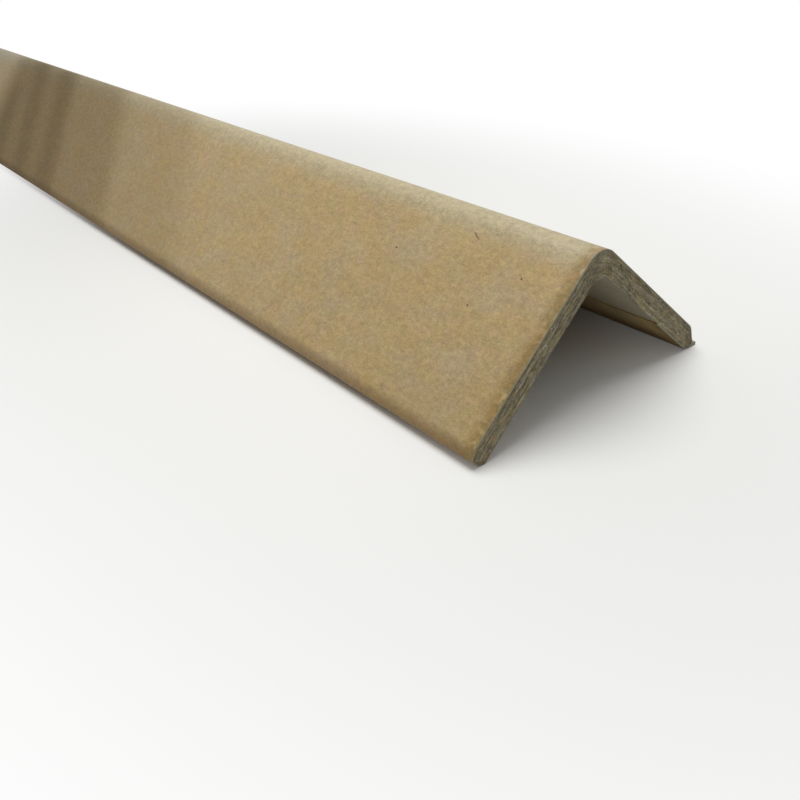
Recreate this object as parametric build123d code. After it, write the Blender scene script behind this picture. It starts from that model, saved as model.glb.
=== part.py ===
from build123d import *
import os
from dataclasses import dataclass
from math import cos, radians, sin

# Paper edge protector: a long angle of laminated grey board with a kraft paper liner.
# It stands like a tent on its two free edges, with the rounded bend uppermost.
# X runs along its length, the front leg falls towards -Y and the back leg towards +Y.

# Overall sizes, in millimetres and degrees
LENGTH = 400.0
LEG_WIDTH = 50.0
OPENING_ANGLE = 93.9

# The board is several plies glued together, and the liner wraps its outside, goes round
# both free edges and laps a short way up the inside of each leg
BOARD_THICKNESS = 4.4
LINER_THICKNESS = 0.35
LAP_WIDTH = 18.0

# The bend is rolled: round outside, and crushed flat inside, below where the inner faces would
# meet. The squeezed plies heap up a little on the back leg, beside the crushed flat
OUTER_BEND_RADIUS = 5.0
CRUSH_DEPTH = 1.55
CRUSH_RADIUS = 0.5
HEAP_DEPTH = 0.35
HEAP_REACH = 12.0
HEAP_RADIUS = 5.0

LEG_THICKNESS = LINER_THICKNESS + BOARD_THICKNESS
EDGE_THICKNESS = LEG_THICKNESS + LINER_THICKNESS
HALF_ANGLE = radians(OPENING_ANGLE / 2)
SHARP = 0.0

FRONT = -1
BACK = 1


@dataclass(frozen=True)
class FreeEdge:
    """The pressed edge of a leg: a long bevel outside, a flat nose, and a short heel inside."""

    bevel_run: float
    bevel_depth: float
    heel_run: float
    heel_depth: float
    bevel_radius: float
    nose_radius: float
    heel_radius: float


# The rollers press the two edges unequally: the front one is blunt, the back one is slanted
FRONT_EDGE = FreeEdge(
    bevel_run=2.4,
    bevel_depth=1.3,
    heel_run=1.0,
    heel_depth=1.6,
    bevel_radius=3.0,
    nose_radius=0.6,
    heel_radius=0.8,
)
BACK_EDGE = FreeEdge(
    bevel_run=4.2,
    bevel_depth=2.5,
    heel_run=1.6,
    heel_depth=0.9,
    bevel_radius=3.0,
    nose_radius=0.6,
    heel_radius=0.8,
)

# A scrap of liner is torn loose at the back edge, beside the +X end, and lies out level
FLAP_REACH = 1.5
FLAP_THICKNESS = 0.7
FLAP_RUN = 3.0
FLAP_ROOT = 0.4
FLAP_CLEARANCE = 0.15


def leg_point(side, along, depth):
    """Place a point of a leg's section: along from the sharp outer corner, depth from its outer face."""
    across = along * sin(HALF_ANGLE) - depth * cos(HALF_ANGLE)
    down = along * cos(HALF_ANGLE) + depth * sin(HALF_ANGLE)
    return (side * across, -down)


def leg_corners(side, edge):
    """List a leg's corners and their radii, from its outer face round the free edge to its inner face."""
    lap_start = LEG_WIDTH - LAP_WIDTH
    corners = [
        (LEG_WIDTH - edge.bevel_run, 0, edge.bevel_radius),
        (LEG_WIDTH, edge.bevel_depth, edge.nose_radius),
        (LEG_WIDTH, EDGE_THICKNESS - edge.heel_depth, edge.nose_radius),
        (LEG_WIDTH - edge.heel_run, EDGE_THICKNESS, edge.heel_radius),
        (lap_start, EDGE_THICKNESS, SHARP),
        (lap_start, LEG_THICKNESS, SHARP),
    ]
    return [(leg_point(side, along, depth), radius) for along, depth, radius in corners]


def crush_corner(side, depth):
    """Place the end of the crushed flat on a leg whose inner face lies at this depth beside it."""
    level = LEG_THICKNESS / sin(HALF_ANGLE) + CRUSH_DEPTH
    along = (level - depth * sin(HALF_ANGLE)) / cos(HALF_ANGLE)
    return (leg_point(side, along, depth), CRUSH_RADIUS)


def inner_bend():
    """List the corners of the inner bend: the crushed flat, and the foot of the heap on the back leg."""
    heap_foot = (leg_point(BACK, HEAP_REACH, LEG_THICKNESS), HEAP_RADIUS)
    return [crush_corner(FRONT, LEG_THICKNESS), crush_corner(BACK, LEG_THICKNESS + HEAP_DEPTH), heap_foot]


def angle_section():
    """Draw the whole section: two legs, the round outer bend and the crushed inner bend."""
    outer_bend = ((0, 0), OUTER_BEND_RADIUS)
    front = leg_corners(FRONT, FRONT_EDGE)
    back = leg_corners(BACK, BACK_EDGE)
    corners = [outer_bend, *front, *inner_bend(), *reversed(back)]
    points = [point for point, radius in corners]
    radii = [radius for point, radius in corners]
    return Plane.YZ * make_face(FilletPolyline(*points, radius=radii, close=True))


def torn_flap(floor):
    """Make the scrap that sticks out level from the back edge, just above what the part stands on."""
    nose_out = leg_point(BACK, LEG_WIDTH, EDGE_THICKNESS - BACK_EDGE.heel_depth)[0]
    tip_out = leg_point(BACK, LEG_WIDTH, BACK_EDGE.bevel_depth)[0] + FLAP_REACH
    underside = floor + FLAP_CLEARANCE
    points = [
        (nose_out - FLAP_ROOT, underside),
        (tip_out, underside),
        (tip_out, underside + FLAP_THICKNESS / 2),
        (nose_out, underside + FLAP_THICKNESS),
        (nose_out - FLAP_ROOT, underside + FLAP_THICKNESS),
    ]
    scrap = Plane.YZ * make_face(Polyline(*points, close=True))
    return Pos(LENGTH / 2 - FLAP_RUN, 0, 0) * extrude(scrap, FLAP_RUN)


def edge_protector():
    """Run the section along the length, and set it down with the middle of its box over the origin."""
    angle = extrude(angle_section(), LENGTH / 2, both=True)
    angle += torn_flap(angle.bounding_box().min.Z)
    box = angle.bounding_box()
    return Pos(0, -box.center().Y, -box.min.Z) * angle


os.makedirs("parts", exist_ok=True)
export_step(edge_protector(), "parts/edge_protector.step")
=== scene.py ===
"""Looks of a paper edge protector: a long angle of laminated grey board under brown kraft paper.

It stands like a tent on its two free edges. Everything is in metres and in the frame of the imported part:
X runs along the length, the front leg falls towards -Y, the back leg towards +Y, and Z is up to the bend.
"""

from __future__ import annotations

import logging
import math
from dataclasses import dataclass, field, fields
from enum import Enum
from typing import Any, Protocol

import bpy
import numpy as np
from mathutils import Matrix, Vector


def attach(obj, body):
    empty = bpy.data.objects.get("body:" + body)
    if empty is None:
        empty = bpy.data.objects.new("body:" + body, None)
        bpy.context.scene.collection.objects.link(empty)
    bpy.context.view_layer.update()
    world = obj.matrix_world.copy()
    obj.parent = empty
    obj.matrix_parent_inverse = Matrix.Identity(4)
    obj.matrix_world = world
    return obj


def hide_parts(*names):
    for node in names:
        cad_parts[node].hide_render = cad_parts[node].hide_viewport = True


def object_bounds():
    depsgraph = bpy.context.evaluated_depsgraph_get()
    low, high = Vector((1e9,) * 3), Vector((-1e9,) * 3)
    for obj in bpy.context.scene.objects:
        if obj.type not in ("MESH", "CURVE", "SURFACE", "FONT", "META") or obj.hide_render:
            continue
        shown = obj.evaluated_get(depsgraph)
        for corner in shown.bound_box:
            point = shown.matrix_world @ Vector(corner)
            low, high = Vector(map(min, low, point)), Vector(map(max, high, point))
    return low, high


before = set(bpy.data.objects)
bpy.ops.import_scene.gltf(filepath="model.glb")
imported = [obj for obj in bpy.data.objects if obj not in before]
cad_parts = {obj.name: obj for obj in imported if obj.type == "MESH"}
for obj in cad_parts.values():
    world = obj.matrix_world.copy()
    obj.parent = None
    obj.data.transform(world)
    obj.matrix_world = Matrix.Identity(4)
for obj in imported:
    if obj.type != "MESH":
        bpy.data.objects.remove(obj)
CAD_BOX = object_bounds()

log = logging.getLogger("edge_protector")

Piece = bpy.types.Object
Socket = bpy.types.NodeSocket
Triple = tuple[float, float, float]

MM = 0.001
HAIR = 0.001 * MM
HALF = 0.5
BODY = "root"
NODE = "edge_protector"

# How much fine detail a noise has
SMOOTH, UNEVEN, ROUGH = 1.0, 2.0, 3.0

MATHS = "ShaderNodeMath"
VECTORS = "ShaderNodeVectorMath"
CLOUDS = "ShaderNodeTexNoise"
SPAN = ("Value", "From Min", "From Max", "To Max")


class Slot(Enum):
    """The record's material slots."""

    KRAFT_LINER = "kraft_liner"
    GREY_BOARD = "grey_board"


class Leg(Enum):
    """The two legs of the angle, each with the sign of the side that it falls to."""

    FRONT = -1
    BACK = 1


class Ground(Enum):
    """The part of a swept layer that small things are strewn over."""

    CUT = "cut ends"
    OUTSIDE = "outer face"


def linear(colour: str) -> tuple[float, float, float, float]:
    """Turn an sRGB hex colour into the linear colour that a shader takes.

    Args:
        colour: the colour as "#RRGGBB".

    Returns:
        Linear red, green, blue and an alpha of 1.
    """
    shares = [int(colour[i : i + 2], 16) / 255 for i in (1, 3, 5)]
    return (*[s / 12.92 if s <= 0.04045 else ((s + 0.055) / 1.055) ** 2.4 for s in shares], 1.0)


@dataclass(frozen=True, eq=False)
class Kind:
    """A kind of node: its type, its own settings, the inputs that are filled in turn, and its output."""

    type: str
    settings: dict[str, str] = field(default_factory=dict)
    inputs: tuple[int | str, ...] = (0, 1, 2)
    output: int = 0


class Node(Enum):
    """The kinds of node that are used in several places."""

    ADD = Kind(MATHS, {"operation": "ADD"})
    SUBTRACT = Kind(MATHS, {"operation": "SUBTRACT"})
    MULTIPLY = Kind(MATHS, {"operation": "MULTIPLY"})
    DIVIDE = Kind(MATHS, {"operation": "DIVIDE"})
    MULTIPLY_ADD = Kind(MATHS, {"operation": "MULTIPLY_ADD"})
    ABSOLUTE = Kind(MATHS, {"operation": "ABSOLUTE"})
    SIGN = Kind(MATHS, {"operation": "SIGN"})
    MAXIMUM = Kind(MATHS, {"operation": "MAXIMUM"})
    LESS_THAN = Kind(MATHS, {"operation": "LESS_THAN"})
    GREATER_THAN = Kind(MATHS, {"operation": "GREATER_THAN"})
    VECTOR_ADD = Kind(VECTORS, {"operation": "ADD"})
    VECTOR_MULTIPLY = Kind(VECTORS, {"operation": "MULTIPLY"})
    SCALE = Kind(VECTORS, {"operation": "SCALE"}, (0, 3))
    SPLIT = Kind("ShaderNodeSeparateXYZ")
    JOIN = Kind("ShaderNodeCombineXYZ")
    POSITION = Kind("GeometryNodeInputPosition")
    NOISE = Kind(CLOUDS, {}, ("Vector", "Scale", "Detail"))
    SEEDED_NOISE = Kind(CLOUDS, {"noise_dimensions": "4D"}, ("Vector", "Scale", "Detail", "W"))
    REMAP = Kind("ShaderNodeMapRange", {}, SPAN)
    FADE = Kind("ShaderNodeMapRange", {"interpolation_type": "SMOOTHSTEP"}, SPAN)
    BLEND = Kind("ShaderNodeMix", {"data_type": "RGBA"}, (0, 6, 7), 2)
    BLEND_NUMBERS = Kind("ShaderNodeMix", {"data_type": "FLOAT"}, (0, 2, 3))
    RANDOM_VECTOR = Kind("FunctionNodeRandomValue", {"data_type": "FLOAT_VECTOR"}, (0, 1, "Seed"))
    RANDOM_NUMBER = Kind("FunctionNodeRandomValue", {"data_type": "FLOAT"}, (2, 3, "Seed"), 1)


class Tree:
    """A node tree in the making."""

    def __init__(self, tree: bpy.types.NodeTree) -> None:
        """Take up a tree and empty it."""
        self.tree = tree
        tree.nodes.clear()

    def add(
        self, kind: Node | str, *inputs: Any, output: int | str | None = None, **settings: Any
    ) -> Socket | None:
        """Add a node with its settings, and fill or link its inputs.

        Args:
            kind: the kind of node, or its bare type.
            *inputs: a value, or the socket to link, for each of the kind's inputs in turn. A dict gives
                them by name or index instead.
            output: which output to give back, where it isn't the kind's own.
            **settings: the node's own properties.

        Returns:
            The chosen output socket, or None for a node that has none.
        """
        plan = kind.value if isinstance(kind, Node) else Kind(kind)
        node = self.tree.nodes.new(plan.type)
        for name, value in {**plan.settings, **settings}.items():
            setattr(node, name, value)
        given: dict[int | str, Any] = {}
        for turn, value in enumerate(inputs):
            given.update(value if isinstance(value, dict) else {plan.inputs[turn]: value})
        for key, value in given.items():
            if isinstance(value, Socket):
                self.tree.links.new(value, node.inputs[key])
            else:
                node.inputs[key].default_value = value
        return node.outputs[plan.output if output is None else output] if node.outputs else None


def place_in_scene(name: str, mesh: bpy.types.Mesh) -> Piece:
    """Make an object of a mesh at the origin and link it to the scene.

    Args:
        name: the name of the object.
        mesh: its mesh.

    Returns:
        The object.
    """
    made = bpy.data.objects.new(name, mesh)
    bpy.context.scene.collection.objects.link(made)
    return made


def report(piece: Piece) -> Piece:
    """Tie a finished piece to the part's body, hide the imported part, and log its size.

    Args:
        piece: the finished mesh object.

    Returns:
        The same piece.
    """
    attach(piece, BODY)
    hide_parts(NODE)
    piece.data.calc_loop_triangles()
    log.info("%s: %d triangles", piece.name, len(piece.data.loop_triangles))
    return piece


class Finish(Protocol):
    """A surface finish, which can make its material."""

    def material(self) -> bpy.types.Material:
        """Make the material."""
        ...


SOCKET_KINDS = {"float": "Float", "int": "Int", "Triple": "Vector"}


def sockets(sizes: type) -> dict[str, str]:
    """The kind of socket for each field of a dataclass of sizes, by its name."""
    return {size.name: SOCKET_KINDS[size.type] for size in fields(sizes)}


class Recipe(Tree):
    """A Geometry Nodes tree with named inputs, run once over a mesh and kept as a plain mesh."""

    def __init__(self, name: str, inputs: dict[str, str]) -> None:
        """Start the tree.

        Args:
            name: what the tree makes.
            inputs: the kind of socket for each named input, besides the geometry and the material.
        """
        super().__init__(bpy.data.node_groups.new(name, "GeometryNodeTree"))
        for label, kind in {"geometry": "Geometry", **inputs, "material": "Material"}.items():
            self.tree.interface.new_socket(label, in_out="INPUT", socket_type=f"NodeSocket{kind}")
        self.tree.interface.new_socket("geometry", in_out="OUTPUT", socket_type="NodeSocketGeometry")
        self.given = self.add("NodeGroupInput").node.outputs

    def named(self, name: str, kind: str = "FLOAT_VECTOR") -> Socket:
        """Read a named attribute."""
        return self.add("GeometryNodeInputNamedAttribute", name, data_type=kind)

    def end(self, geometry: Socket) -> None:
        """Close the tree: real geometry, in its material."""
        real = self.add("GeometryNodeRealizeInstances", geometry)
        dressed = self.add("GeometryNodeSetMaterial", {0: real, "Material": self.given["material"]})
        self.add("NodeGroupOutput", dressed)

    def make(self, name: str, start: bpy.types.Mesh, values: dict[str, Any], finish: Finish) -> Piece:
        """Run the tree over a mesh.

        Args:
            name: the name of the piece that comes out.
            start: the mesh that the tree starts from.
            values: a value for each of the tree's inputs, by its name. Other names are passed over.
            finish: the piece's finish.

        Returns:
            A plain mesh object at the origin, with no modifier.
        """
        carrier = place_in_scene(f"{name}_carrier", start)
        modifier = carrier.modifiers.new(self.tree.name, "NODES")
        modifier.node_group = self.tree
        values = {**values, "material": finish.material()}
        for item in self.tree.interface.items_tree:
            if item.in_out == "INPUT" and item.name in values:
                modifier[item.identifier] = values[item.name]
        graph = bpy.context.evaluated_depsgraph_get()
        graph.update()
        made = bpy.data.meshes.new_from_object(
            carrier.evaluated_get(graph), preserve_all_data_layers=True, depsgraph=graph
        )
        bpy.data.objects.remove(carrier)
        made.name = name
        return place_in_scene(name, made)


@dataclass(frozen=True, eq=False)
class Corner:
    """A corner of an outline in the YZ plane, with the radius that it is rounded to."""

    place: np.ndarray
    radius: float = 0.0


ROUNDING_STEPS = 24
FEWEST_STEPS = 4


def unit(vector: np.ndarray) -> np.ndarray:
    """Give a vector the length 1."""
    return vector / np.linalg.norm(vector)


def inward(direction: np.ndarray) -> np.ndarray:
    """Turn a direction a quarter turn right: into the board, on an outline from front to back."""
    return np.array([direction[1], -direction[0]])


def inset(corners: list[Corner], distance: float) -> list[Corner]:
    """Move an open outline into the board.

    Args:
        corners: the outline, from the front to the back.
        distance: how far each of its runs moves.

    Returns:
        The moved outline, whose round corners keep their centres.
    """
    places = [c.place for c in corners]
    runs = [unit(b - a) for a, b in zip(places, places[1:])]
    moved = [Corner(places[0] + inward(runs[0]) * distance)]
    for corner, before, after in zip(corners[1:-1], runs, runs[1:]):
        middle = unit(inward(before) + inward(after))
        shift = middle * distance / float(middle @ inward(before))
        moved.append(Corner(corner.place + shift, max(corner.radius - distance, 0.0)))
    moved.append(Corner(places[-1] + inward(runs[-1]) * distance))
    return moved


def rounding(before: np.ndarray, corner: Corner, after: np.ndarray) -> np.ndarray:
    """Trace the arc that rounds a corner.

    Args:
        before: a point on the run that comes to the corner.
        corner: the corner.
        after: a point on the run that leaves it.

    Returns:
        Points from the arc's start to its end.
    """
    back, on = unit(before - corner.place), unit(after - corner.place)
    half = math.acos(float(back @ on)) / 2
    turn = math.pi - 2 * half
    reach = corner.radius / math.tan(half)
    centre = corner.place + unit(back + on) * corner.radius / math.sin(half)
    start, end = corner.place + back * reach - centre, corner.place + on * reach - centre
    shares = np.linspace(0, 1, ROUNDING_STEPS + 1)[:, None]
    return centre + (np.sin((1 - shares) * turn) * start + np.sin(shares * turn) * end) / math.sin(turn)


def traced(corners: list[Corner]) -> list[np.ndarray]:
    """Trace an outline as its straight runs and the arcs between them, in turn.

    Args:
        corners: the outline, whose first and last corners are its ends.

    Returns:
        The points of each run and each arc.
    """
    places = [c.place for c in corners]
    paths: list[np.ndarray] = []
    start = places[0]
    for before, corner, after in zip(places, corners[1:-1], places[2:]):
        arc = rounding(before, corner, after)
        paths += [np.array([start, arc[0]]), arc]
        start = arc[-1]
    return [*paths, np.array([start, places[-1]])]


def in_three(corners: list[Corner], first: Corner, last: Corner) -> list[np.ndarray]:
    """Trace an outline in three stretches.

    Args:
        corners: the outline.
        first: the corner that the middle stretch starts with.
        last: the corner that it ends with.

    Returns:
        The stretches before, from and after those two round corners.
    """
    paths = traced(corners)
    start, stop = 2 * corners.index(first) - 1, 2 * corners.index(last)
    return [np.vstack(part) for part in (paths[:start], paths[start:stop], paths[stop:])]


def lengths(path: np.ndarray) -> np.ndarray:
    """The distance run at each point of a path."""
    return np.concatenate([[0.0], np.cumsum(np.linalg.norm(np.diff(path, axis=0), axis=1))])


def stepped(path: np.ndarray, steps: int) -> np.ndarray:
    """Points at equal steps along a path, from its start and up to its last step.

    Args:
        path: the path.
        steps: how many steps it is cut into.

    Returns:
        The start of each step.
    """
    run = lengths(path)
    at = np.linspace(0, run[-1], steps + 1)[:-1]
    return np.column_stack([np.interp(at, run, path[:, i]) for i in (0, 1)])


@dataclass(frozen=True)
class Layer:
    """One layer of the section: matched points on its outer and inner side, from the front to the back."""

    outer: np.ndarray
    inner: np.ndarray
    thickness: float

    @classmethod
    def between(
        cls, outer: list[np.ndarray], inner: list[np.ndarray], thickness: float, spacing: float
    ) -> Layer:
        """Step along two sides that are cut into as many stretches, so that their points match one to one.

        Args:
            outer: the stretches of the side away from the load.
            inner: the stretches of the side towards the load.
            thickness: the layer's own thickness, where it isn't crushed.
            spacing: the distance between points, which is less in a stretch that is too short.

        Returns:
            The layer between the two.
        """
        counts = [max(FEWEST_STEPS, round(lengths(path)[-1] / spacing)) for path in outer]
        sides = [
            np.vstack([*[stepped(path, n) for path, n in zip(side, counts)], side[-1][-1:]])
            for side in (outer, inner)
        ]
        return cls(*sides, thickness)

    def mesh(self, name: str) -> bpy.types.Mesh:
        """Make the layer's outer side a line of vertices that know the layer.

        Args:
            name: the name of the mesh.

        Returns:
            A mesh of loose vertices in the plane X = 0. Each holds the way across to the inner side, the
            direction along the plies and the distance run.
        """
        middle = (self.outer + self.inner) / 2
        along = np.gradient(middle, axis=0)
        mesh = bpy.data.meshes.new(name)
        mesh.from_pydata([(0, *p) for p in self.outer], [], [])
        for label, flat in (("across", self.inner - self.outer), ("along", along)):
            values = np.column_stack([np.zeros(len(flat)), flat]).astype(np.float32)
            mesh.attributes.new(label, "FLOAT_VECTOR", "POINT").data.foreach_set("vector", values.ravel())
        run = lengths(middle).astype(np.float32)
        mesh.attributes.new("run", "FLOAT", "POINT").data.foreach_set("value", run)
        return mesh


@dataclass(frozen=True)
class FreeEdge:
    """The pressed edge of a leg: a long bevel outside, a flat nose, and a short heel inside."""

    bevel_run: float
    bevel_depth: float
    heel_run: float
    heel_depth: float
    bevel_radius: float = 3.0 * MM
    nose_radius: float = 0.6 * MM
    heel_radius: float = 0.8 * MM


@dataclass(frozen=True)
class AngleSection:
    """The protector's section, the same all along: two legs that meet in a rolled bend.

    The bend is round outside and crushed flat inside, where the squeezed plies heap up on the back leg.
    """

    leg_width: float = 50.0 * MM
    opening_angle: float = math.radians(93.9)
    board_thickness: float = 4.4 * MM
    liner_thickness: float = 0.35 * MM
    lap_width: float = 18.0 * MM
    outer_bend_radius: float = 5.0 * MM
    crush_depth: float = 1.55 * MM
    crush_radius: float = 0.5 * MM
    heap_depth: float = 0.35 * MM
    heap_reach: float = 12.0 * MM
    heap_radius: float = 5.0 * MM
    front_edge: FreeEdge = FreeEdge(2.4 * MM, 1.3 * MM, 1.0 * MM, 1.6 * MM)
    back_edge: FreeEdge = FreeEdge(4.2 * MM, 2.5 * MM, 1.6 * MM, 0.9 * MM)

    @property
    def leg_thickness(self) -> float:
        """Thickness of a leg where the liner doesn't lap it inside."""
        return self.liner_thickness + self.board_thickness

    def edge(self, leg: Leg) -> FreeEdge:
        """The free edge of a leg."""
        return self.front_edge if leg is Leg.FRONT else self.back_edge

    def flat_point(self, leg: Leg, along: float, depth: float) -> np.ndarray:
        """Place a point from the sharp outer corner.

        Args:
            leg: the leg that it lies on.
            along: the distance down the leg from the sharp outer corner.
            depth: the distance below the leg's outer face.

        Returns:
            Y and Z, with the sharp outer corner at zero.
        """
        half = self.opening_angle / 2
        across = along * math.sin(half) - depth * math.cos(half)
        down = along * math.cos(half) + depth * math.sin(half)
        return np.array([leg.value * across, -down])

    def paper_outline(self) -> list[Corner]:
        """Outline of the paper's face, from its front lap round the outside to its back lap.

        Returns:
            Its corners, with the sharp outer corner at zero.
        """
        edge_depth = self.leg_thickness + self.liner_thickness
        sides = []
        for leg in Leg:
            edge = self.edge(leg)
            spots = [
                (self.leg_width - self.lap_width, edge_depth, 0.0),
                (self.leg_width - edge.heel_run, edge_depth, edge.heel_radius),
                (self.leg_width, edge_depth - edge.heel_depth, edge.nose_radius),
                (self.leg_width, edge.bevel_depth, edge.nose_radius),
                (self.leg_width - edge.bevel_run, 0.0, edge.bevel_radius),
            ]
            sides.append([Corner(self.flat_point(leg, along, depth), r) for along, depth, r in spots])
        front, back = sides
        return [*front, Corner(np.zeros(2), self.outer_bend_radius), *reversed(back)]

    def crush_corner(self, leg: Leg, depth: float) -> Corner:
        """The end of the crushed flat, on a leg whose inner face lies at this depth beside it.

        Args:
            leg: the leg.
            depth: the depth of its inner face.

        Returns:
            The corner, with the sharp outer corner at zero.
        """
        half = self.opening_angle / 2
        level = self.leg_thickness / math.sin(half) + self.crush_depth
        along = (level - depth * math.sin(half)) / math.cos(half)
        return Corner(self.flat_point(leg, along, depth), self.crush_radius)

    def inner_bend(self) -> list[Corner]:
        """The crushed flat, and the foot of the heap on the back leg."""
        return [
            self.crush_corner(Leg.FRONT, self.leg_thickness),
            self.crush_corner(Leg.BACK, self.leg_thickness + self.heap_depth),
            Corner(self.flat_point(Leg.BACK, self.heap_reach, self.leg_thickness), self.heap_radius),
        ]

    def apex(self) -> np.ndarray:
        """Y and Z of the sharp outer corner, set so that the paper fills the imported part's box."""
        low = np.array([CAD_BOX[0].y, CAD_BOX[0].z])
        return low - np.vstack(traced(self.paper_outline())).min(axis=0)

    def placed(self, corners: list[Corner]) -> list[Corner]:
        """Move an outline from the sharp corner at zero to its place in the part."""
        return [Corner(c.place + self.apex(), c.radius) for c in corners]

    def on_face(self, leg: Leg, along: float, depth: float = 0.0) -> np.ndarray:
        """Y and Z of a point of a leg in the part."""
        return self.flat_point(leg, along, depth) + self.apex()

    def paper(self, spacing: float) -> Layer:
        """The paper liner, glued down on its inner side."""
        face = self.placed(self.paper_outline())
        under = inset(face, self.liner_thickness)
        return Layer.between(traced(face), traced(under), self.liner_thickness, spacing)

    def board(self, spacing: float, bite: float) -> Layer:
        """The plies of board, which reach a little way into the glue of the liner.

        Args:
            spacing: the distance between points along the section.
            bite: how far the board reaches into the liner.

        Returns:
            The layer of board, from the front nose to the back one.
        """
        under = self.placed(inset(self.paper_outline(), self.liner_thickness - bite))
        _, heel, nose, rim, bevel, bend, back_bevel, back_rim, back_nose, back_heel, _ = under
        crush, heap, foot = self.placed(self.inner_bend())
        outer = in_three([rim, bevel, bend, back_bevel, back_rim], bend, bend)
        inner = in_three([nose, heel, crush, heap, foot, back_heel, back_nose], crush, heap)
        return Layer.between(outer, inner, self.board_thickness, spacing)


@dataclass(frozen=True)
class Grain:
    """One scale of unevenness: how long and thick its streaks are, and how much they light and darken."""

    length: float
    thickness: float
    amount: float

    def scale(self) -> Triple:
        """Streaks to a metre, along and across."""
        return (1 / self.length, 1 / self.thickness, 1 / self.thickness)


@dataclass(frozen=True)
class Patch:
    """Soft-edged patches of another colour: their size, how much they cover and how strong they are."""

    grain: Grain
    start: float
    colour: str
    seed: float
    full: float = 0.8


@dataclass(frozen=True)
class Spots:
    """Small marks: the cell that holds one, their radius in it, and the share of cells that have one."""

    cell: Grain
    radius: float
    share: float
    colour: str


@dataclass(frozen=True)
class ShadeStep:
    """One soft step of the painted shade: where it lies, half of its width, and how much it darkens."""

    start: float
    softness: float
    share: float


DARKEST = 0.2
BUMP_STRENGTH = 0.6


class Paint(Tree):
    """A material in the making, with the ways that its surface is made uneven, patched and spotted."""

    def __init__(self, name: str) -> None:
        """Start an empty material, whose nodes read the point that they paint."""
        self.material = bpy.data.materials.new(name)
        self.material.use_nodes = True
        super().__init__(self.material.node_tree)
        self.place = self.add("ShaderNodeTexCoord", output="Object")

    def tone(self, place: Socket, grains: tuple[Grain, ...]) -> Socket:
        """Add up several scales of unevenness.

        Args:
            place: the point, as streaks run: along, then across.
            grains: the scales.

        Returns:
            A factor round 1 that lights and darkens the colour.
        """
        tone: Any = 1.0 - sum(grain.amount for grain in grains) / 2
        for grain in grains:
            scaled = self.add(Node.VECTOR_MULTIPLY, place, grain.scale())
            noise = self.add(Node.NOISE, scaled, 1.0, UNEVEN)
            tone = self.add(Node.MULTIPLY_ADD, noise, grain.amount, tone)
        return self.add(Node.MAXIMUM, tone, DARKEST)

    def patched(self, colour: Any, place: Socket, patches: tuple[Patch, ...]) -> Any:
        """Lay soft patches over a colour.

        Args:
            colour: the colour under them.
            place: the point, as patches run: along, then across.
            patches: the kinds of patch, from the lowest up.

        Returns:
            The colour with its patches.
        """
        for patch in patches:
            scaled = self.add(Node.VECTOR_MULTIPLY, place, patch.grain.scale())
            noise = self.add(Node.SEEDED_NOISE, scaled, 1.0, UNEVEN, patch.seed)
            share = self.add(Node.REMAP, noise, patch.start, patch.full, patch.grain.amount)
            colour = self.add(Node.BLEND, share, colour, linear(patch.colour))
        return colour

    def spotted(self, colour: Any, place: Socket, kinds: tuple[Spots, ...]) -> Any:
        """Lay small marks over a colour.

        Args:
            colour: the colour under them.
            place: the point, as marks run: along, then across.
            kinds: the kinds of mark, from the lowest up.

        Returns:
            The colour with its marks.
        """
        for spots in kinds:
            scaled = self.add(Node.VECTOR_MULTIPLY, place, spots.cell.scale())
            cells = self.add("ShaderNodeTexVoronoi", {"Vector": scaled, "Scale": 1.0}).node.outputs
            near = self.add(Node.REMAP, cells["Distance"], spots.radius, spots.radius / 2, spots.cell.amount)
            draw = self.add(Node.SPLIT, cells["Color"], output="X")
            share = self.add(Node.MULTIPLY, near, self.add(Node.LESS_THAN, draw, spots.share))
            colour = self.add(Node.BLEND, share, colour, linear(spots.colour))
        return colour

    def finished(self, colour: Any, tone: Socket, roughness: Any, bump: float) -> bpy.types.Material:
        """Close the material.

        Args:
            colour: the surface's colour.
            tone: the factor that lights and darkens it, which is also the height of its unevenness.
            roughness: how dull it is.
            bump: the height of the unevenness, in metres.

        Returns:
            The finished material.
        """
        shaded = self.add(Node.SCALE, colour, tone)
        relief = self.add("ShaderNodeBump", {"Height": tone, "Strength": BUMP_STRENGTH, "Distance": bump})
        look = {"Base Color": shaded, "Roughness": roughness, "Normal": relief}
        surface = self.add("ShaderNodeBsdfPrincipled", look)
        self.add("ShaderNodeOutputMaterial", {"Surface": surface})
        return self.material


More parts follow.
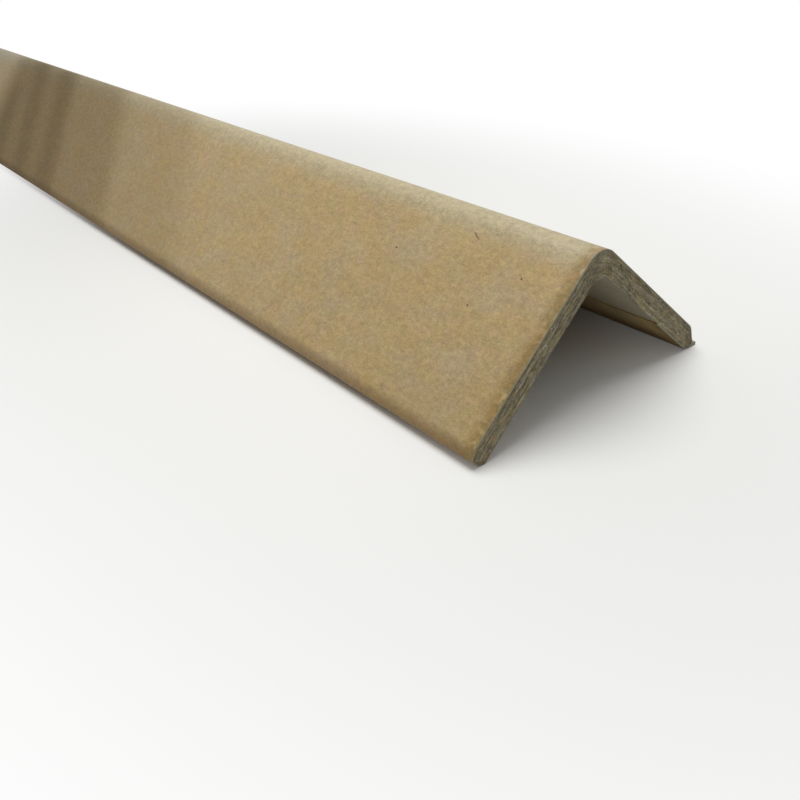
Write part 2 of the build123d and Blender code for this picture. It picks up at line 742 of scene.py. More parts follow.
@dataclass(frozen=True)
class KraftPaper:
    """Brown kraft liner paper, calendered: matt, finely mottled, with flecks of bark.

    It is paler on the bend, a painted sheen; browner near the free edges, painted shade; ochre beside the
    cut;
    and darker in soft slanting bands towards its far end, painted shade.
    """

    body: str = "#A58D5F"
    # painted sheen: paler where the bend catches the light
    stretched: str = "#A99C7A"
    # painted shade: browner near the free edges, which face down towards the floor
    pressed: str = "#795720"
    scorched: tuple[tuple[str, float], ...] = (("#86622C", 1.0), ("#7A6830", 6.0))
    cut: str = "#7C745A"
    # painted shade, darker towards the far end of the front face
    painted_shade: str = "#5C4B2A"
    grains: tuple[Grain, ...] = (
        Grain(14.0 * MM, 9.0 * MM, 0.14),
        Grain(4.5 * MM, 3.5 * MM, 0.18),
        Grain(1.6 * MM, 1.2 * MM, 0.58),
        Grain(0.6 * MM, 0.45 * MM, 0.75),
    )
    patches: tuple[Patch, ...] = (
        Patch(Grain(4.0 * MM, 3.0 * MM, 0.65), 0.45, "#AB8D70", 3.0),
        Patch(Grain(4.0 * MM, 3.0 * MM, 0.65), 0.45, "#9E925E", 8.0),
        Patch(Grain(8.0 * MM, 6.0 * MM, 0.6), 0.45, "#A98B52", 13.0),
        Patch(Grain(12.0 * MM, 8.0 * MM, 0.6), 0.45, "#A79678", 21.0),
    )
    flecks: tuple[Spots, ...] = (
        Spots(Grain(4.2 * MM, 4.2 * MM, 0.6), 0.06, 0.6, "#75603E"),
        Spots(Grain(1.7 * MM, 1.3 * MM, 0.4), 0.12, 0.5, "#7A6340"),
    )
    wander: float = 4.0 * MM
    # where the painted sheen lies on the bend
    bend_fade: tuple[float, float] = (31.5 * MM, 36.0 * MM)
    bend_strength: float = 0.95
    # where the painted shade along the free edges lies
    edge_fade: tuple[float, float] = (5.6 * MM, 2.2 * MM)
    edge_strength: float = 0.7
    scorch_fade: tuple[float, float] = (4.5 * MM, 0.0)
    scorch_strength: float = 0.8
    scorch_cloud: float = 1.5 * MM
    scorch_patch: tuple[float, float] = (0.36, 0.54)
    # steps of painted shade, which stand in for the light's fall-off towards the far end
    shade_steps: tuple[ShadeStep, ...] = (
        ShadeStep(27.6 * MM, 12.0 * MM, 0.20),
        ShadeStep(-28.4 * MM, 8.0 * MM, 0.27),
        ShadeStep(-77.5 * MM, 5.0 * MM, 0.20),
    )
    shade_end: tuple[float, float] = (-165.0 * MM, -125.0 * MM)
    shade_side: tuple[float, float] = (3.0 * MM, -1.0 * MM)
    shade_slant: float = 1.14
    shade_wander: float = 6.0 * MM
    shade_dulling: float = 0.45
    band_spacing: float = 30.0 * MM
    band_strength: float = 0.075
    roughness: float = 0.5
    bump: float = 0.05 * MM

    def material(self) -> bpy.types.Material:
        """Paint the paper, from its own brown up to the flecks, and then its cut edge.

        Returns:
            The finished material.
        """
        paint = Paint("calendered_kraft_paper")
        x, y, z = paint.add(Node.SPLIT, paint.place).node.outputs
        ply = paint.add("ShaderNodeAttribute", output="Vector", attribute_name="ply")
        is_cut = paint.add(Node.SPLIT, ply, output="Z")
        clouds = paint.add(Node.NOISE, paint.place, 1 / self.wander, ROUGH)

        colour = paint.patched(linear(self.body), paint.place, self.patches)
        # painted shade: slanting dark steps and faint bands towards the far end
        painted_shade_share = self.shade_share(paint, x, y, clouds)
        for share, over in (
            # painted sheen on the bend
            (self.sheen_share(paint, z, clouds), self.stretched),
            # painted shade near the free edges
            (paint.add(Node.FADE, z, *self.edge_fade, self.edge_strength), self.pressed),
            *[(self.scorch_share(paint, x, seed), over) for over, seed in self.scorched],
            # painted shade towards the far end
            (painted_shade_share, self.painted_shade),
        ):
            colour = paint.add(Node.BLEND, share, colour, linear(over))
        colour = paint.spotted(colour, paint.place, self.flecks)
        colour = paint.add(Node.BLEND, is_cut, colour, linear(self.cut))
        # duller where the painted shade lies
        roughness = paint.add(Node.MULTIPLY_ADD, painted_shade_share, self.shade_dulling, self.roughness)
        return paint.finished(colour, paint.tone(paint.place, self.grains), roughness, self.bump)

    def sheen_share(self, paint: Paint, z: Socket, clouds: Socket) -> Socket:
        """How much painted sheen the paper takes: on the bend, with an uneven edge."""
        uneven = paint.add(Node.MULTIPLY_ADD, clouds, self.wander / 2, z)
        return paint.add(Node.FADE, uneven, *self.bend_fade, self.bend_strength)

    def scorch_share(self, paint: Paint, x: Socket, seed: float) -> Socket:
        """How far the saw has browned the paper: in a patchy strip beside each cut end.

        Args:
            paint: the material in the making.
            x: the place along the length.
            seed: where its patches fall.

        Returns:
            The share of the scorched colour.
        """
        to_cut = paint.add(Node.SUBTRACT, CAD_BOX[1].x, paint.add(Node.ABSOLUTE, x))
        noise = paint.add(Node.SEEDED_NOISE, paint.place, 1 / self.scorch_cloud, UNEVEN, seed)
        patch = paint.add(Node.FADE, noise, *self.scorch_patch)
        near = paint.add(Node.FADE, to_cut, *self.scorch_fade, self.scorch_strength)
        return paint.add(Node.MULTIPLY, near, patch)

    def shade_share(self, paint: Paint, x: Socket, y: Socket, clouds: Socket) -> Socket:
        """The painted shade on the front face: soft slanting steps towards its far end, then faint bands.

        Args:
            paint: the material in the making.
            x: the place along the length.
            y: the place across it.
            clouds: the unevenness that the bands wander with.

        Returns:
            The share of the painted shade colour.
        """
        slanted = paint.add(Node.MULTIPLY_ADD, y, self.shade_slant, x)
        uneven = paint.add(Node.MULTIPLY_ADD, clouds, self.shade_wander, slanted)
        seat = paint.add(Node.SUBTRACT, uneven, self.shade_wander / 2)
        share: Any = 0.0
        for shade_step in self.shade_steps:
            step = paint.add(Node.FADE, seat, shade_step.start + shade_step.softness, shade_step.start - shade_step.softness, shade_step.share)
            share = paint.add(Node.ADD, step, share)
        angle = paint.add(Node.MULTIPLY, seat, 2 * math.pi / self.band_spacing)
        wave = paint.add(MATHS, angle, operation="COSINE")
        band = paint.add(Node.MULTIPLY, wave, step)
        share = paint.add(Node.MULTIPLY_ADD, band, self.band_strength / shade_step.share, share)
        for place, span in ((x, self.shade_end), (y, self.shade_side)):
            share = paint.add(Node.MULTIPLY, share, paint.add(Node.FADE, place, *span))
        return share


@dataclass(frozen=True)
class GreyBoard:
    """Recycled grey board in plies: sawn rough across them, and only rolled smooth on the inside.

    The saw shows each ply as a band of its own grey, pulls the fibres along it, and bares white and ochre
    bits of the waste paper that the board is made of. The dark spots are painted shade in the pits of the
    sawn face.
    """

    body: str = "#837A61"
    wall: str = "#9A907A"
    streaks: tuple[Grain, ...] = (
        Grain(60.0 * MM, 0.9 * MM, 0.80),
        Grain(7.0 * MM, 0.75 * MM, 1.60),
        Grain(2.4 * MM, 0.55 * MM, 2.00),
        Grain(0.9 * MM, 0.35 * MM, 1.70),
        Grain(0.35 * MM, 0.16 * MM, 0.60),
    )
    wall_grains: tuple[Grain, ...] = (
        Grain(12.0 * MM, 8.0 * MM, 0.25),
        Grain(1.6 * MM, 0.8 * MM, 0.40),
        Grain(0.5 * MM, 0.3 * MM, 0.30),
    )
    patches: tuple[Patch, ...] = (
        Patch(Grain(8.0 * MM, 1.2 * MM, 0.9), 0.50, "#8A7444", 2.0),
        Patch(Grain(5.0 * MM, 0.9 * MM, 0.9), 0.54, "#777545", 5.0),
        Patch(Grain(4.0 * MM, 0.9 * MM, 0.9), 0.52, "#8A8882", 11.0),
        Patch(Grain(2.5 * MM, 0.6 * MM, 0.8), 0.58, "#9A753C", 17.0),
    )
    # white specks, and dark spots that are painted shade in the pits of the sawn face
    scraps_and_pit_shade: tuple[Spots, ...] = (
        Spots(Grain(1.1 * MM, 0.5 * MM, 0.8), 0.20, 0.16, "#3A3124"),
        Spots(Grain(1.5 * MM, 0.8 * MM, 0.7), 0.16, 0.25, "#B5B09C"),
        Spots(Grain(3.0 * MM, 2.1 * MM, 0.9), 0.08, 0.5, "#1C160F"),
        Spots(Grain(2.6 * MM, 1.7 * MM, 0.9), 0.09, 0.4, "#DAD6C8"),
    )
    roughness: float = 0.9
    bump: float = 0.06 * MM

    def material(self) -> bpy.types.Material:
        """Paint the board by its ply attribute: distance run, depth below the face, and 1 where it is cut.

        Returns:
            The finished material.
        """
        paint = Paint("laminated_grey_board")
        ply = paint.add("ShaderNodeAttribute", output="Vector", attribute_name="ply")
        is_cut = paint.add(Node.SPLIT, ply, output="Z")
        sawn = paint.spotted(paint.patched(linear(self.body), ply, self.patches), ply, self.scraps_and_pit_shade)
        colour = paint.add(Node.BLEND, is_cut, linear(self.wall), sawn)
        tones = (paint.tone(paint.place, self.wall_grains), paint.tone(ply, self.streaks))
        tone = paint.add(Node.BLEND_NUMBERS, is_cut, *tones)
        return paint.finished(colour, tone, self.roughness, self.bump)


@dataclass(frozen=True)
class LooseFibre:
    """Loose bits of paper fibre, torn or pulled: dull and softly uneven, in one colour."""

    name: str
    body: str
    grain: Grain = Grain(0.5 * MM, 0.3 * MM, 0.5)
    roughness: float = 0.85
    bump: float = 0.02 * MM

    def material(self) -> bpy.types.Material:
        """Paint the bits."""
        paint = Paint(self.name)
        tone = paint.tone(paint.place, (self.grain,))
        return paint.finished(linear(self.body)[:3], tone, self.roughness, self.bump)


@dataclass(frozen=True)
class Sweep:
    """The inputs that a layer of the section is swept with, all but those worked out from the layer.

    The cut ends have relief: grooves between the plies, and torn fibres. The slit edges of the laps
    wander. Slow ripples, which the rollers leave, are the same in each layer.
    """

    stations: int
    rows: int
    crowding: float
    relief: float
    relief_fade: float
    lap_wander: float = 0.0
    lap_reach: float = 6.0 * MM
    lap_wave: float = 30.0 * MM
    ripple_depth: float = 0.14 * MM
    ripple_length: float = 22.0 * MM
    ripple_rise: float = 12.0 * MM
    ripple_stretch: Triple = (0.4, 1.0, 1.0)
    ripple_seed: float = 3.0
    ply: float = 0.44 * MM
    ply_drift: float = 1.5
    drift_waves: float = 0.25
    fibre: float = 1.1 * MM
    groove_width: float = 0.22
    groove_depth: float = 0.45
    tear_waves: float = 1.1
    tear_roughness: float = 0.6
    crease: float = math.radians(55)


class SweptLayer(Recipe):
    """Runs a layer of the section along the length: a closed solid with its plies in relief at the cut."""

    def __init__(self) -> None:
        """Build the tree, which wraps a block one unit across round the section."""
        worked_out = {"half_length": "Float", "thickness": "Float", "columns": "Int"}
        super().__init__("swept_layer", {**worked_out, **sockets(Sweep)})
        given = self.given
        counts = {"Vertices X": given["stations"], "Vertices Y": given["columns"]}
        size = {"Size": (1, 1, 1), **counts, "Vertices Z": given["rows"]}
        block = self.add("GeometryNodeMeshCube", size)
        x, y, z = self.add(Node.SPLIT, self.add(Node.POSITION)).node.outputs
        self.side = self.add(Node.SIGN, x)
        self.to_cut = self.from_cut(x)
        from_middle = self.add(Node.SUBTRACT, given["half_length"], self.to_cut)
        self.station = self.add(Node.MULTIPLY, from_middle, self.side)

        last = self.add(Node.SUBTRACT, given["columns"], 1.0)
        column = self.add(Node.MULTIPLY, self.add(Node.ADD, y, HALF), last)
        index = self.add(MATHS, column, operation="ROUND")
        share_deep = self.add(Node.SUBTRACT, HALF, z)
        outer = self.sampled(self.add(Node.POSITION), index)
        inner = self.add(Node.SCALE, self.sampled(self.named("across"), index), share_deep)
        self.along = self.add(VECTORS, self.sampled(self.named("along"), index), operation="NORMALIZE")
        run = self.named("run", "FLOAT")
        self.behind = self.sampled(run, index, "FLOAT")
        self.ahead = self.add(Node.SUBTRACT, self.sampled(run, last, "FLOAT"), self.behind)
        in_section = self.add(Node.VECTOR_ADD, outer, inner)
        self.place = self.add(Node.VECTOR_ADD, in_section, self.add(Node.JOIN, self.station))
        self.depth = self.add(Node.MULTIPLY, given["thickness"], share_deep)

        is_cut = self.add(Node.LESS_THAN, self.to_cut, HAIR)
        ply = self.add(Node.JOIN, self.behind, self.depth, is_cut)
        marked = block
        at_points = {"data_type": "FLOAT_VECTOR", "domain": "POINT"}
        for name, value in (("ply", ply), ("along", self.along)):
            stored = {0: marked, "Name": name, "Value": value}
            marked = self.add("GeometryNodeStoreNamedAttribute", stored, **at_points)
        offset = self.sag()
        for more in (self.lap_wander(), self.cut_relief()):
            offset = self.add(Node.VECTOR_ADD, offset, more)
        moved = self.add("GeometryNodeSetPosition", {0: marked, "Position": self.place, "Offset": offset})
        smooth = self.add("GeometryNodeSetShadeSmooth", {0: moved, "Shade Smooth": True}, domain="FACE")
        corner = self.add(Node.GREATER_THAN, self.add("GeometryNodeInputMeshEdgeAngle"), given["crease"])
        sharp = {0: smooth, "Selection": corner, "Shade Smooth": False}
        self.end(self.add("GeometryNodeSetShadeSmooth", sharp, domain="EDGE"))

    def from_cut(self, share: Socket) -> Socket:
        """Space the stations, which crowd towards the cut ends.

        Args:
            share: the place along the block, from -0.5 to 0.5.

        Returns:
            The distance of each station from the nearer cut end.
        """
        reach = self.add(Node.ABSOLUTE, share)
        left = self.add(Node.MULTIPLY_ADD, reach, -1 / HALF, 1.0, use_clamp=True)
        crowded = self.add(MATHS, left, self.given["crowding"], operation="POWER")
        return self.add(Node.MULTIPLY, crowded, self.given["half_length"])

    def sampled(self, value: Socket, index: Socket, kind: str = "FLOAT_VECTOR") -> Socket:
        """Read a value at a vertex of the section."""
        source = {"Geometry": self.given["geometry"], "Value": value, "Index": index}
        return self.add("GeometryNodeSampleIndex", source, data_type=kind, domain="POINT")

    def sag(self) -> Socket:
        """Make slow ripples of the rolled board, which only ever lower it, and spare the free edges.

        Returns:
            The offset that they give.
        """
        given = self.given
        stretched = self.add(Node.VECTOR_MULTIPLY, self.place, given["ripple_stretch"])
        scale = self.add(Node.DIVIDE, 1.0, given["ripple_length"])
        wave = self.add(Node.SEEDED_NOISE, stretched, scale, SMOOTH, given["ripple_seed"])
        height = self.add(Node.SPLIT, self.place, output="Z")
        free = self.add(Node.FADE, height, 0.0, given["ripple_rise"])
        drop = self.add(Node.MULTIPLY, self.add(Node.MULTIPLY, wave, free), given["ripple_depth"])
        return self.add(Node.JOIN, {"Z": self.add(Node.MULTIPLY, drop, -1.0)})

    def lap_wander(self) -> Socket:
        """Let the slit edges of the sheet wander up and down the inside of the legs.

        Returns:
            The offset that it gives.
        """
        given = self.given
        nearer = self.add(MATHS, self.behind, self.ahead, operation="MINIMUM")
        free = self.add(Node.FADE, nearer, given["lap_reach"], 0.0)
        which = self.add(Node.LESS_THAN, self.behind, self.ahead)
        scale = self.add(Node.DIVIDE, 1.0, given["lap_wave"])
        wave = self.add(Node.NOISE, self.add(Node.JOIN, self.station, which), scale, UNEVEN)
        amount = self.add(Node.MULTIPLY, self.add(Node.SUBTRACT, wave, HALF), given["lap_wander"])
        return self.add(Node.SCALE, self.along, self.add(Node.MULTIPLY, amount, free))

    def cut_relief(self) -> Socket:
        """Make grooves between the plies and torn fibres at the cut, which only ever go into the board.

        Returns:
            The offset that they give.
        """
        given = self.given
        strands = self.add(Node.DIVIDE, self.behind, given["fibre"])
        plies = self.add(Node.DIVIDE, self.depth, given["ply"])
        on_cut = self.add(Node.JOIN, strands, plies, self.side)
        drift = self.add(Node.NOISE, on_cut, given["drift_waves"], SMOOTH)
        layer = self.add(Node.MULTIPLY_ADD, drift, given["ply_drift"], plies)
        from_joint = self.add(MATHS, layer, HALF, operation="PINGPONG")
        deepest = {"To Min": given["groove_depth"], "To Max": 0.0}
        groove = self.add(Node.REMAP, from_joint, 0.0, given["groove_width"], deepest)
        tears = {"Roughness": given["tear_roughness"]}
        torn = self.add(Node.NOISE, on_cut, given["tear_waves"], ROUGH, tears)
        fade = self.add(Node.FADE, self.to_cut, given["relief_fade"], 0.0)
        amount = self.add(Node.MULTIPLY, self.add(Node.ADD, groove, torn), fade)
        deep = self.add(Node.MULTIPLY, amount, given["relief"])
        outwards = self.add(Node.MULTIPLY, deep, self.side)
        return self.add(Node.JOIN, self.add(Node.MULTIPLY, outwards, -1.0))


class Strewn(Recipe):
    """Strews one small shape over part of a swept layer, each laid along the plies and sized at random."""

    def __init__(self, name: str, ground: Ground) -> None:
        """Build the tree.

        Args:
            name: what is strewn.
            ground: the part of the layer that it lies on.
        """
        numbers = dict.fromkeys(("density", "swing", "tilt", "sink", "keep_off"), "Float")
        super().__init__(name, {**numbers, "least": "Vector", "most": "Vector", "seed": "Int"})
        given = self.given
        self.x, self.y, self.z = self.add(Node.SPLIT, self.add(Node.POSITION)).node.outputs
        places = {0: given["geometry"], "Selection": self.chosen(ground)}
        amount = {"Density": given["density"], "Seed": given["seed"]}
        strewn = self.add("GeometryNodeDistributePointsOnFaces", {**places, **amount}).node.outputs
        up = self.add(Node.JOIN, self.add(Node.SIGN, self.x)) if ground is Ground.CUT else strewn["Normal"]
        sunk = self.add(Node.SCALE, self.add(Node.SCALE, up, given["sink"]), -1.0)
        seats = self.add("GeometryNodeSetPosition", {0: strewn["Points"], "Offset": sunk})
        upright = self.add("FunctionNodeAlignRotationToVector", {"Vector": up}, axis="Z")
        lie = {"Rotation": upright, "Vector": self.named("along")}
        laid = self.add("FunctionNodeAlignRotationToVector", lie, axis="X", pivot_axis="Z")
        turn = self.add(Node.JOIN, {"Y": self.drawn("tilt", 1), "Z": self.drawn("swing", 2)})
        turned = {"Rotation": laid, "Rotate By": self.add("FunctionNodeEulerToRotation", turn)}
        placed = {
            "Points": seats,
            "Instance": self.shape(),
            "Rotation": self.add("FunctionNodeRotateRotation", turned, rotation_space="LOCAL"),
            "Scale": self.add(Node.RANDOM_VECTOR, given["least"], given["most"], given["seed"]),
        }
        self.end(self.add("GeometryNodeInstanceOnPoints", placed))

    def chosen(self, ground: Ground) -> Socket:
        """Choose the faces that the shape is strewn over.

        Args:
            ground: the part of the layer that it lies on.

        Returns:
            1 on the faces of that part, away from the free edges, and 0 elsewhere.
        """
        keep_off = self.given["keep_off"]
        _, depth, is_cut = self.add(Node.SPLIT, self.named("ply")).node.outputs
        if ground is Ground.CUT:
            cut = self.add(Node.GREATER_THAN, is_cut, HALF)
            limit = self.add(Node.SUBTRACT, CAD_BOX[1].y, keep_off)
            inside = self.add(Node.LESS_THAN, self.add(Node.ABSOLUTE, self.y), limit)
            return self.add(Node.MULTIPLY, cut, inside)
        uncut = self.add(Node.LESS_THAN, is_cut, HALF)
        outside = self.add(Node.MULTIPLY, uncut, self.add(Node.LESS_THAN, depth, HAIR))
        return self.add(Node.MULTIPLY, outside, self.add(Node.GREATER_THAN, self.z, keep_off))

    def drawn(self, limit: str, salt: int) -> Socket:
        """Draw an angle between plus and minus one of the inputs.

        Args:
            limit: the name of the input.
            salt: what is added to the seed, so that each angle is drawn for itself.

        Returns:
            The angle.
        """
        low = self.add(Node.MULTIPLY, self.given[limit], -1.0)
        seed = self.add(Node.ADD, self.given["seed"], float(salt))
        return self.add(Node.RANDOM_NUMBER, low, self.given[limit], seed)

    def shape(self) -> Socket:
        """The shape that is strewn: a flake, one unit across."""
        flake = self.add("GeometryNodeMeshIcoSphere", {"Radius": HALF, "Subdivisions": 1})
        return self.add("GeometryNodeSetShadeSmooth", {0: flake, "Shade Smooth": True}, domain="FACE")


class StrewnFibres(Strewn):
    """Strews bowed fibres that taper to both ends."""

    POINTS = 6
    SIDES = 4
    BOW = 1.0
    TAPER = 0.8

    def shape(self) -> Socket:
        """A fibre, one unit long and one unit thick, bowed by its own thickness.

        Returns:
            The fibre's mesh.
        """
        line = self.add("GeometryNodeCurvePrimitiveLine", {"Start": (-HALF, 0, 0), "End": (HALF, 0, 0)})
        steps = self.add("GeometryNodeResampleCurve", {0: line, "Count": self.POINTS})
        reach = self.add(Node.DIVIDE, self.x, HALF)
        square = self.add(Node.MULTIPLY, reach, reach)
        bow = self.add(Node.MULTIPLY_ADD, square, -self.BOW, HALF)
        bowed = self.add("GeometryNodeSetPosition", {0: steps, "Offset": self.add(Node.JOIN, {"Y": bow})})
        taper = self.add(Node.MULTIPLY_ADD, square, -self.TAPER, 1.0)
        ring = self.add("GeometryNodeCurvePrimitiveCircle", {"Resolution": self.SIDES, "Radius": HALF})
        tube = {0: bowed, "Profile Curve": ring, "Scale": taper, "Fill Caps": True}
        return self.add("GeometryNodeCurveToMesh", tube)


@dataclass(frozen=True)
class SweptPiece:
    """A layer of the section as a finished piece: its point spacing, finish and sweep."""

    name: str
    slot: Slot
    finish: Finish
    spacing: float
    setback: float
    sweep: Sweep

    def layer(self, section: AngleSection) -> Layer:
        """The layer that is swept, which each piece gives for itself."""
        raise NotImplementedError

    def build(self, section: AngleSection, recipe: SweptLayer, half: float) -> Piece:
        """Sweep the layer along the length.

        Args:
            section: the protector's section.
            recipe: the recipe for a swept layer.
            half: half of the protector's length.

        Returns:
            The finished piece.
        """
        layer = self.layer(section)
        values = {
            "half_length": half - self.setback,
            "thickness": layer.thickness,
            "columns": len(layer.outer),
            **vars(self.sweep),
        }
        start = layer.mesh(f"{self.name}_section")
        return report(recipe.make(self.name, start, values, self.finish))


@dataclass(frozen=True)
class BoardCore(SweptPiece):
    """The glued plies of grey board, seen at both cut ends and between the laps of the liner inside."""

    name: str = "board_core"
    slot: Slot = Slot.GREY_BOARD
    finish: Finish = GreyBoard()
    spacing: float = 0.17 * MM
    setback: float = 0.06 * MM
    sweep: Sweep = Sweep(stations=31, rows=34, crowding=3.0, relief=0.20 * MM, relief_fade=2.5 * MM)
    bite: float = 0.03 * MM

    def layer(self, section: AngleSection) -> Layer:
        """The plies of board."""
        return section.board(self.spacing, self.bite)


@dataclass(frozen=True)
class KraftLiner(SweptPiece):
    """The sheet of kraft paper glued round the outside, with a lap up the inside of each leg."""

    name: str = "kraft_liner"
    slot: Slot = Slot.KRAFT_LINER
    finish: Finish = KraftPaper()
    spacing: float = 0.7 * MM
    setback: float = 0.02 * MM
    sweep: Sweep = Sweep(
        stations=91, rows=2, crowding=1.6, relief=0.10 * MM, relief_fade=1.2 * MM, lap_wander=2.4 * MM
    )

    def layer(self, section: AngleSection) -> Layer:
        """The sheet of paper."""
        return section.paper(self.spacing)


@dataclass(frozen=True)
class Strewing:
    """How one small shape is strewn: where, how many to a square metre, and how large and askew they lie."""

    name: str
    slot: Slot
    recipe: type[Strewn]
    ground: Ground
    finish: Finish
    density: float
    least: Triple
    most: Triple
    swing: float
    keep_off: float
    seed: int
    tilt: float = 0.0
    sink: float = 0.0

    def build(self, layer: Piece) -> Piece:
        """Strew the shape over a finished layer."""
        recipe = self.recipe(self.name, self.ground)
        return report(recipe.make(self.name, layer.data.copy(), vars(self), self.finish))


CUT_FIBRES = Strewing(
    name="cut_fibres",
    slot=Slot.GREY_BOARD,
    recipe=StrewnFibres,
    ground=Ground.CUT,
    finish=LooseFibre("pulled_board_fibre", "#857B64"),
    density=0.8 / MM**2,
    least=(0.5 * MM, 0.06 * MM, 0.04 * MM),
    most=(1.7 * MM, 0.14 * MM, 0.07 * MM),
    swing=math.radians(14),
    keep_off=1.1 * MM,
    seed=11,
    tilt=math.radians(2.5),
)
PULP_FLECKS = Strewing(
    name="pulp_flecks",
    slot=Slot.GREY_BOARD,
    recipe=Strewn,
    ground=Ground.CUT,
    finish=LooseFibre("white_pulp", "#C9C4B4"),
    density=0.16 / MM**2,
    least=(0.14 * MM, 0.10 * MM, 0.05 * MM),
    most=(0.42 * MM, 0.26 * MM, 0.09 * MM),
    swing=math.radians(20),
    keep_off=1.1 * MM,
    seed=29,
    tilt=math.radians(8),
)
BARK_FLAKES = Strewing(
    name="bark_flakes",
    slot=Slot.KRAFT_LINER,
    recipe=Strewn,
    ground=Ground.OUTSIDE,
    finish=LooseFibre("bark_in_kraft_pulp", "#846D46"),
    density=0.0024 / MM**2,
    least=(0.15 * MM, 0.12 * MM, 0.04 * MM),
    most=(0.75 * MM, 0.24 * MM, 0.07 * MM),
    swing=math.radians(180),
    keep_off=6.0 * MM,
    seed=5,
    sink=0.015 * MM,
)


def skinned(name: str, bodies: list[np.ndarray], finish: Finish) -> Piece:
    """Put a closed skin of quads over bodies that are given as rings of points.

    Args:
        name: the name of the piece.
        bodies: the rings of each body from one end to the other, as rings by points by coordinates.
        finish: the finish of the skin.

    Returns:
        The piece at the origin.
    """
    faces: list[list[int]] = []
    first = 0
    for body in bodies:
        rings = (np.arange(body.shape[0] * body.shape[1]) + first).reshape(body.shape[:2]).tolist()
        first += body.shape[0] * body.shape[1]
        for a, b in zip(rings, rings[1:]):
            faces += [[a[j - 1], b[j - 1], b[j], a[j]] for j in range(len(a))]
        for end in (rings[0], rings[-1][::-1]):
            faces += [[end[j], end[j + 1], end[-2 - j], end[-1 - j]] for j in range(len(end) // 2 - 1)]
    mesh = bpy.data.meshes.new(name)
    mesh.from_pydata(np.vstack([body.reshape(-1, 3) for body in bodies]).tolist(), [], faces)
    mesh.materials.append(finish.material())
    return place_in_scene(name, mesh)


@dataclass(frozen=True)
class Mark:
    """One fibre pressed into the front face: where it starts, along the length and down the leg."""

    x: float
    along: float
    run: float
    fall: float
    width: float


@dataclass(frozen=True)
class StrayFibres:
    """The few dark fibres and specks that stand out on the front face."""

    marks: tuple[Mark, ...] = (
        Mark(168.9 * MM, 7.0 * MM, 2.3 * MM, 1.25 * MM, 0.22 * MM),
        Mark(187.04 * MM, 12.77 * MM, 0.40 * MM, 0.10 * MM, 0.42 * MM),
        Mark(149.08 * MM, 16.60 * MM, 0.55 * MM, 0.20 * MM, 0.40 * MM),
        Mark(178.03 * MM, 22.19 * MM, 0.42 * MM, 0.25 * MM, 0.40 * MM),
    )
    proud: float = 0.05 * MM
    sunk: float = 0.16 * MM
    bow: float = 0.03
    bluntness: float = 0.02
    steps: int = 10
    sides: int = 8
    finish: Finish = LooseFibre("dark_wood_fibre", "#69543A")

    def rings(self, mark: Mark, section: AngleSection) -> np.ndarray:
        """Trace one fibre as rings of points, along it and round it.

        Args:
            mark: the fibre.
            section: the protector's section.

        Returns:
            Rings by points by coordinates.
        """
        start = section.on_face(Leg.FRONT, mark.along)
        down = unit(section.on_face(Leg.FRONT, 1.0) - section.on_face(Leg.FRONT, 0.0))
        length = math.hypot(mark.run, mark.fall)
        share = np.linspace(0, 1, self.steps + 1)[:, None]
        turn = 2 * math.pi * np.arange(self.sides) / self.sides
        full = np.sqrt(np.maximum(1 - (2 * share - 1) ** 2, self.bluntness))
        wide = mark.width / 2 * full * np.cos(turn) + self.bow * length * 4 * share * (1 - share)
        rise = np.where(np.sin(turn) > 0, self.proud, self.sunk) * np.sin(turn)
        x = mark.x + mark.run * share - wide * mark.fall / length
        fall = mark.fall * share + wide * mark.run / length
        flat = start + fall[..., None] * down + rise[:, None] * inward(down)
        return np.dstack([x, flat[..., 0], flat[..., 1]])

    def build(self, section: AngleSection) -> Piece:
        """Lay the fibres on the front face."""
        piece = skinned("stray_fibres", [self.rings(mark, section) for mark in self.marks], self.finish)
        piece.data.polygons.foreach_set("use_smooth", [True] * len(piece.data.polygons))
        return report(piece)


@dataclass(frozen=True)
class TornScrap:
    """A scrap of liner and board torn loose at the back edge, beside the near cut end."""

    run: float = 2.6 * MM
    reach: float = 1.45 * MM
    root: float = 0.35 * MM
    thickness: float = 0.88 * MM
    thinning: float = 0.12
    lift: float = 0.03 * MM
    clearance: float = 0.02 * MM
    setback: float = 0.06 * MM
    shortest: float = 0.86
    torn_corner: float = 0.3
    unevenness: float = 0.03 * MM
    wave: float = 0.04 * MM
    wave_turns: tuple[float, float] = (3.25, 3.0)
    columns: int = 14
    rows: int = 8
    seed: int = 7
    finish: Finish = LooseFibre("torn_liner", "#86806A")

    def build(self, section: AngleSection, half: float) -> Piece:
        """Make the scrap as a small ragged sheet that lies out level from the edge.

        Args:
            section: the protector's section.
            half: half of the protector's length.

        Returns:
            The finished piece.
        """
        draw = np.random.default_rng(self.seed)
        edge = section.back_edge
        depth = section.leg_thickness + section.liner_thickness - edge.heel_depth
        start = section.on_face(Leg.BACK, section.leg_width, depth)[0] - self.root
        tip = section.on_face(Leg.BACK, section.leg_width, edge.bevel_depth)[0] + self.reach
        ragged = draw.uniform(self.shortest, 1.0, self.columns)
        ragged[0] = self.torn_corner
        heights = draw.uniform(-self.unevenness, self.unevenness, (self.columns, self.rows))

        shares = (np.linspace(0, 1, self.columns), np.linspace(0, 1, self.rows))
        along, out = np.meshgrid(*shares, indexing="ij")
        x = half - self.setback - self.run * (1 - along)
        y = start + (tip - start) * ragged[:, None] * out
        wave = self.wave * np.sin(self.wave_turns[0] * along + self.wave_turns[1] * out)
        middle = self.lift + self.thickness / 2 + wave + heights
        thin = self.thickness * (1 - self.thinning * out**2) / 2
        top = np.dstack([x, y, middle + thin])
        under = np.dstack([x, y, np.maximum(middle - thin, self.clearance)])
        rings = np.hstack([top, under[:, ::-1]])
        return report(skinned("torn_scrap", [rings], self.finish))


WHITE = "#FFFFFF"


